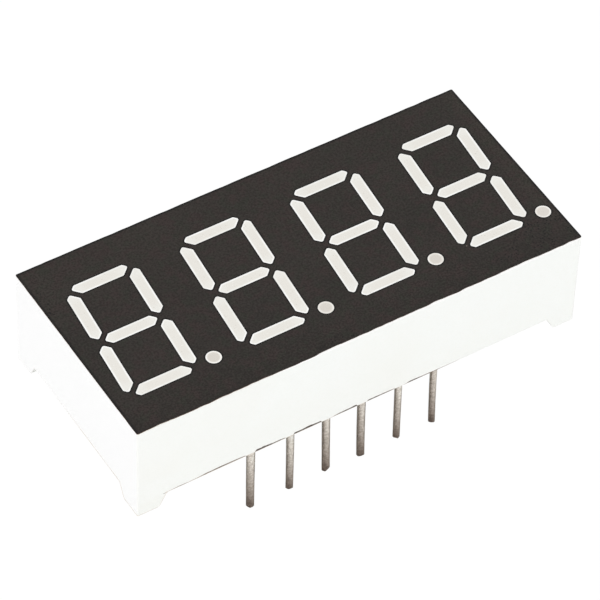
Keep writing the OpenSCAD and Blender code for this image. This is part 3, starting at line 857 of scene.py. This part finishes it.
def make_potting():
    """The rear epoxy with its real surface: it creeps down every pin and a little down the walls."""
    outer = plate_loop(INNER_W, INNER_D, INNER_R, 0.35) + [SHELL_X, 0.0]
    holes, extra = [], []
    turn = np.arange(SIDES) * math.tau / SIDES
    circle = np.stack([np.cos(turn), np.sin(turn)], 1)
    centres = {p: np.array(pin_line(p, 1.1)) for p in PINS}
    for p, c in centres.items():
        r = pin_radius(p, 1.1)
        holes.append(c + circle * r)
        for grow in (0.03, 0.07, 0.12, 0.19, 0.28, 0.4, 0.56, 0.78):
            extra += list(c + circle[:: 1 if grow < 0.3 else 2] * (r + grow))
    for inset in (0.04, 0.1, 0.18, 0.3, 0.5):
        loop = plate_loop(INNER_W - 2 * inset, INNER_D - 2 * inset, max(0.05, INNER_R - inset), 0.35) + [SHELL_X, 0.0]
        extra += list(loop)
    for x in np.arange(-13.4, 13.41, 0.45):
        for y in np.arange(-5.3, 5.31, 0.45):
            q = np.array([x + SHELL_X, y])
            if min(np.linalg.norm(q - c) for c in centres.values()) > 1.2:
                extra.append(q)
    points, faces = fill(outer, holes, extra)

    def height(q):
        away = min(np.linalg.norm(q - c) - pin_radius(p, 1.1) for p, c in centres.items())
        side = min(INNER_W / 2 - abs(q[0] - SHELL_X), INNER_D / 2 - abs(q[1]))
        z = POTTING_Z - 0.24 * math.exp(-max(away, 0.0) / 0.11) - 0.13 * math.exp(-max(side, 0.0) / 0.14)
        z += 0.012 * noise.noise(Vector((q[0] * 0.35, q[1] * 0.35, 2.0)))
        return max(z, FOOT_H + 0.03)

    s = Shape()
    low = s.add([(q[0], q[1], height(q)) for q in points])
    s.faces += [tuple(low[i] for i in f[::-1]) for f in faces]
    n = len(outer)
    rim = s.add([(x, y, BOARD_TOP) for x, y in outer])
    s.band(low[:n], rim)
    # the narrow skirt between the board and the shell, and the face that the board's rear side lies on
    board = plate_loop(INNER_W - 2 * GAP, INNER_D - 2 * GAP, 0.02, 0.35, 2) + [SHELL_X, 0.0]
    flat, ring = fill(outer, [board])
    inner = s.add([(x, y, BOARD_TOP) for x, y in board])
    upper = rim + inner
    s.faces += [tuple(upper[i] for i in f) for f in ring]
    foot = s.add([(x, y, BOARD_Z) for x, y in board])
    s.band(inner, foot)
    caps, wells = [], []
    for p, hole in zip(PINS, range(len(holes))):
        c = np.array(pin_at(p))
        caps.append(c + circle * 0.62)
    flat, ceiling = fill(board, caps)
    cap_rings = [s.add([(x, y, BOARD_Z) for x, y in cap]) for cap in caps]
    upper = foot + [i for r in cap_rings for i in r]
    s.faces += [tuple(upper[i] for i in f) for f in ceiling]
    start = n
    for p, cap in zip(PINS, cap_rings):
        hole = low[start:start + SIDES]
        start += SIDES
        neck = s.add([(*(np.array(pin_line(p, 1.72)) + circle[i] * pin_radius(p, 1.72)), 1.72) for i in range(SIDES)])
        s.band(neck, hole)
        s.band(cap, neck)
    return s.make("rear_epoxy", POTTING, "potting", 40)


make_print()
for p in PINS:
    make_pin(p)
make_potting()


# ---------------------------------------------------------------- stage


def make_floor():
    """A plain pale sheet on which the pins stand. It is a light table: to the camera it stays pale where the object shades it."""
    size = 3.0
    mesh = bpy.data.meshes.new("floor")
    z = FLOOR_Z * MM - 0.00001
    mesh.from_pydata([(-size, -size, z), (size, -size, z), (size, size, z), (-size, size, z)], [], [(0, 1, 2, 3)])
    obj = bpy.data.objects.new("floor", mesh)
    bpy.context.scene.collection.objects.link(obj)
    t = Tree("pale_floor")
    near = t.nodes.new("ShaderNodeAmbientOcclusion")
    near.samples = 8
    near.inputs["Distance"].default_value = 0.014
    # the sheet's colour is painted darker where the object stands close above it: a painted shadow, deeper than the
    # light alone casts, which the pins reflect
    shade = t.step(near.outputs["AO"], 0.46, 0.70)
    t.put(t.shader.inputs["Base Color"], t.mix(shade, (0.45, 0.44, 0.43), (0.86, 0.86, 0.86)))
    t.shader.inputs["Roughness"].default_value = 0.9
    t.shader.inputs["Specular IOR Level"].default_value = 0.1
    glow = t.nodes.new("ShaderNodeEmission")
    glow.inputs["Color"].default_value = (1, 1, 1, 1)
    glow.inputs["Strength"].default_value = 1.02
    sight = t.nodes.new("ShaderNodeLightPath")
    blend = t.nodes.new("ShaderNodeMixShader")
    t.links.new(t.m("MULTIPLY", sight.outputs["Is Camera Ray"], 0.98), blend.inputs[0])
    t.links.new(t.shader.outputs[0], blend.inputs[1])
    t.links.new(glow.outputs[0], blend.inputs[2])
    t.links.new(blend.outputs[0], t.out.inputs["Surface"])
    mesh.materials.append(t.material)
    return obj


def make_world():
    """A soft white studio: light from every side, more of it from above."""
    world = bpy.data.worlds.new("studio")
    bpy.context.scene.world = world
    world.use_nodes = True
    nodes, links = world.node_tree.nodes, world.node_tree.links
    nodes.clear()
    out = nodes.new("ShaderNodeOutputWorld")
    light, plain = nodes.new("ShaderNodeBackground"), nodes.new("ShaderNodeBackground")
    at, split = nodes.new("ShaderNodeTexCoord"), nodes.new("ShaderNodeSeparateXYZ")
    ramp, sight = nodes.new("ShaderNodeMapRange"), nodes.new("ShaderNodeLightPath")
    blend = nodes.new("ShaderNodeMixShader")
    links.new(at.outputs["Generated"], split.inputs[0])
    links.new(split.outputs[2], ramp.inputs[0])
    ramp.inputs[1].default_value, ramp.inputs[2].default_value = 0.0, 1.0
    ramp.inputs[3].default_value, ramp.inputs[4].default_value = SKY
    links.new(ramp.outputs[0], light.inputs["Strength"])
    light.inputs["Color"].default_value = plain.inputs["Color"].default_value = (1, 1, 1, 1)
    plain.inputs["Strength"].default_value = 1.0
    links.new(sight.outputs["Is Camera Ray"], blend.inputs[0])
    links.new(light.outputs[0], blend.inputs[1])
    links.new(plain.outputs[0], blend.inputs[2])
    links.new(blend.outputs[0], out.inputs["Surface"])


def area_light(name, place, aim, size, watts):
    data = bpy.data.lights.new(name, "AREA")
    data.shape, data.size, data.energy = "SQUARE", size, watts
    obj = bpy.data.objects.new(name, data)
    obj.location = place
    obj.rotation_mode = "QUATERNION"
    obj.rotation_quaternion = (Vector(place) - Vector(aim)).to_track_quat("Z", "Y")
    bpy.context.scene.collection.objects.link(obj)
    return obj


def make_camera():
    """The viewpoint of a long lens, 48 degrees above the horizon, from the front left."""
    right = Vector((0.85112095, -0.52424971, 0.02748399))
    down = Vector((-0.37475779, -0.64341501, -0.66751309))
    ahead = Vector((0.36762715, 0.55783454, -0.74409066))
    place = Vector((-0.09333602, -0.14154889, 0.19209262))
    data = bpy.data.cameras.new("camera")
    data.sensor_width, data.lens = 36.0, 36.0 * 4326.166 / 600
    data.clip_start, data.clip_end = 0.01, 20
    obj = bpy.data.objects.new("camera", data)
    m = Matrix((right, -down, -ahead)).transposed().to_4x4()
    m.translation = place
    obj.matrix_world = m
    bpy.context.scene.collection.objects.link(obj)
    bpy.context.scene.camera = obj


make_floor()
make_world()
area_light("key", (-0.42, -0.34, 0.74), (0, 0, 0), 0.48, KEY)
make_camera()
bpy.context.scene.view_settings.view_transform = "Standard"
bpy.context.scene.view_settings.look = "None"
